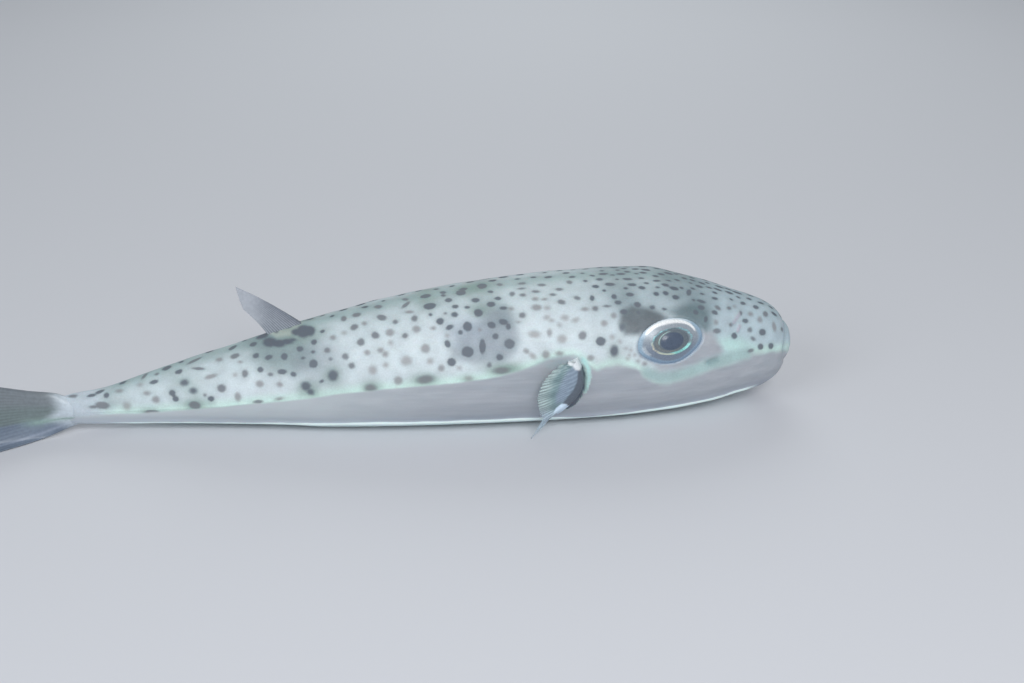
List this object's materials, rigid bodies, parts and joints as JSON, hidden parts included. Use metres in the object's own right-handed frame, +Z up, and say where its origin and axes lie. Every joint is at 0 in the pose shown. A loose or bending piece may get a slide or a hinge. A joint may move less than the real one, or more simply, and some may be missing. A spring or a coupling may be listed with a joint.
{
  "type": "spotted pufferfish, resting",
  "caption": "Life-size silver-cheeked pufferfish lying on its belly: long spotted body, beaked mouth, folded side fins, forked tail fin.",
  "frame": {"origin": "on the floor, on the body's midline, in the middle of the flat patch of belly that the fish lies on", "axes": "+X runs forwards out of the snout, +Y to the fish's left, +Z up; the floor is z = 0"},
  "size_m": [0.4385, 0.0942, 0.0755],
  "materials": {
    "skin_spotted": "smooth wet skin, pale mint grey with dark spots above, mirror-silver lower side, white belly",
    "skin_silver": "smooth wet silver skin",
    "beak": "satin ivory tooth plate",
    "eye": "polished clear cornea over a dark iris with a cyan and gold rim",
    "pectoral_membrane": "translucent rayed membrane with a glossy black base",
    "fin_membrane": "translucent grey membrane with dark rays",
    "tail_membrane": "translucent olive-grey membrane with dark rays"
  },
  "bodies": {
    "root": {"head": "skin_spotted", "trunk": "skin_spotted", "tail_stalk": "skin_spotted", "upper_lip": "skin_spotted", "lower_lip": "skin_silver", "beak_upper": "beak", "beak_lower": "beak", "eye_right": "eye", "eye_left": "eye", "nostril_right": "skin_spotted", "nostril_left": "skin_spotted", "pectoral_fin_right": "pectoral_membrane", "pectoral_fin_left": "pectoral_membrane", "dorsal_fin": "fin_membrane", "anal_fin": "fin_membrane", "caudal_fin": "tail_membrane"}
  },
  "joints": []
}
